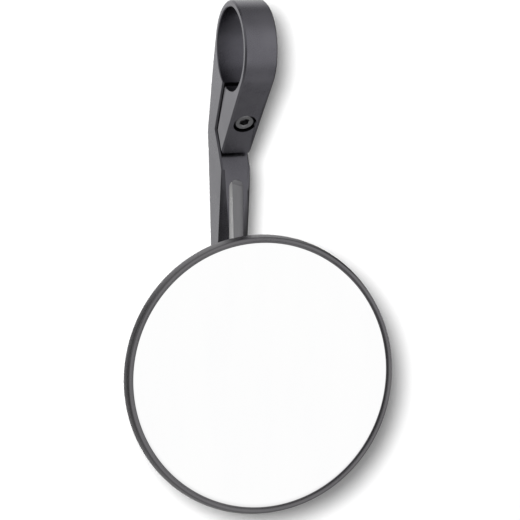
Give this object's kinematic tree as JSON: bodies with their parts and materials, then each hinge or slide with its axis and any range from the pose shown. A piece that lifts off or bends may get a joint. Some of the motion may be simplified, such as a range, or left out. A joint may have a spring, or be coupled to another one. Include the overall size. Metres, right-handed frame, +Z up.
{
  "type": "motorcycle bar end mirror",
  "caption": "Round convex mirror on a ball joint, carried by a milled arm whose split ring clamps on a handlebar end.",
  "frame": {"origin": "centre of the clamp bore, on the handlebar's axis", "axes": "+X along the handlebar, -Y towards the rider whom the glass faces, +Z up"},
  "size_m": [0.0996, 0.0454, 0.1813],
  "materials": {
    "arm_anodised": "satin black anodised",
    "housing_anodised": "satin black anodised, turned",
    "screw_steel": "black oxide",
    "stud_steel": "zinc plated",
    "spring_steel": "plain",
    "seat_plastic": "natural",
    "pad_foam": "foam adhesive",
    "mirror_silver": "silvered glass"
  },
  "bodies": {
    "arm": {"clamp_arm": "arm_anodised", "clamp_screw": "screw_steel", "ball_stud": "stud_steel", "stud_washer": "stud_steel", "stud_nut": "stud_steel"},
    "rear_seat": {"rear_ball_seat": "seat_plastic"},
    "front_seat": {"front_ball_seat": "seat_plastic"},
    "head": {"mirror_housing": "housing_anodised", "seat_spring": "spring_steel", "retainer_plate": "spring_steel", "retainer_screws": "spring_steel", "glass_pad": "pad_foam", "mirror_glass": "mirror_silver"}
  },
  "joints": [
    {"name": "head_turn", "type": "hinge", "parent": "arm", "child": "rear_seat", "pos_m": [0, -0.0035, -0.11425], "axis": [0, 0, 1], "range_deg": [-15, 15]},
    {"name": "head_tilt", "type": "hinge", "parent": "rear_seat", "child": "front_seat", "pos_m": [0, -0.0035, -0.11425], "axis": [1, 0, 0], "range_deg": [-15, 15]},
    {"name": "head_spin", "type": "hinge", "parent": "front_seat", "child": "head", "pos_m": [0, -0.0035, -0.11425], "axis": [0, 1, 0], "continuous": true}
  ]
}
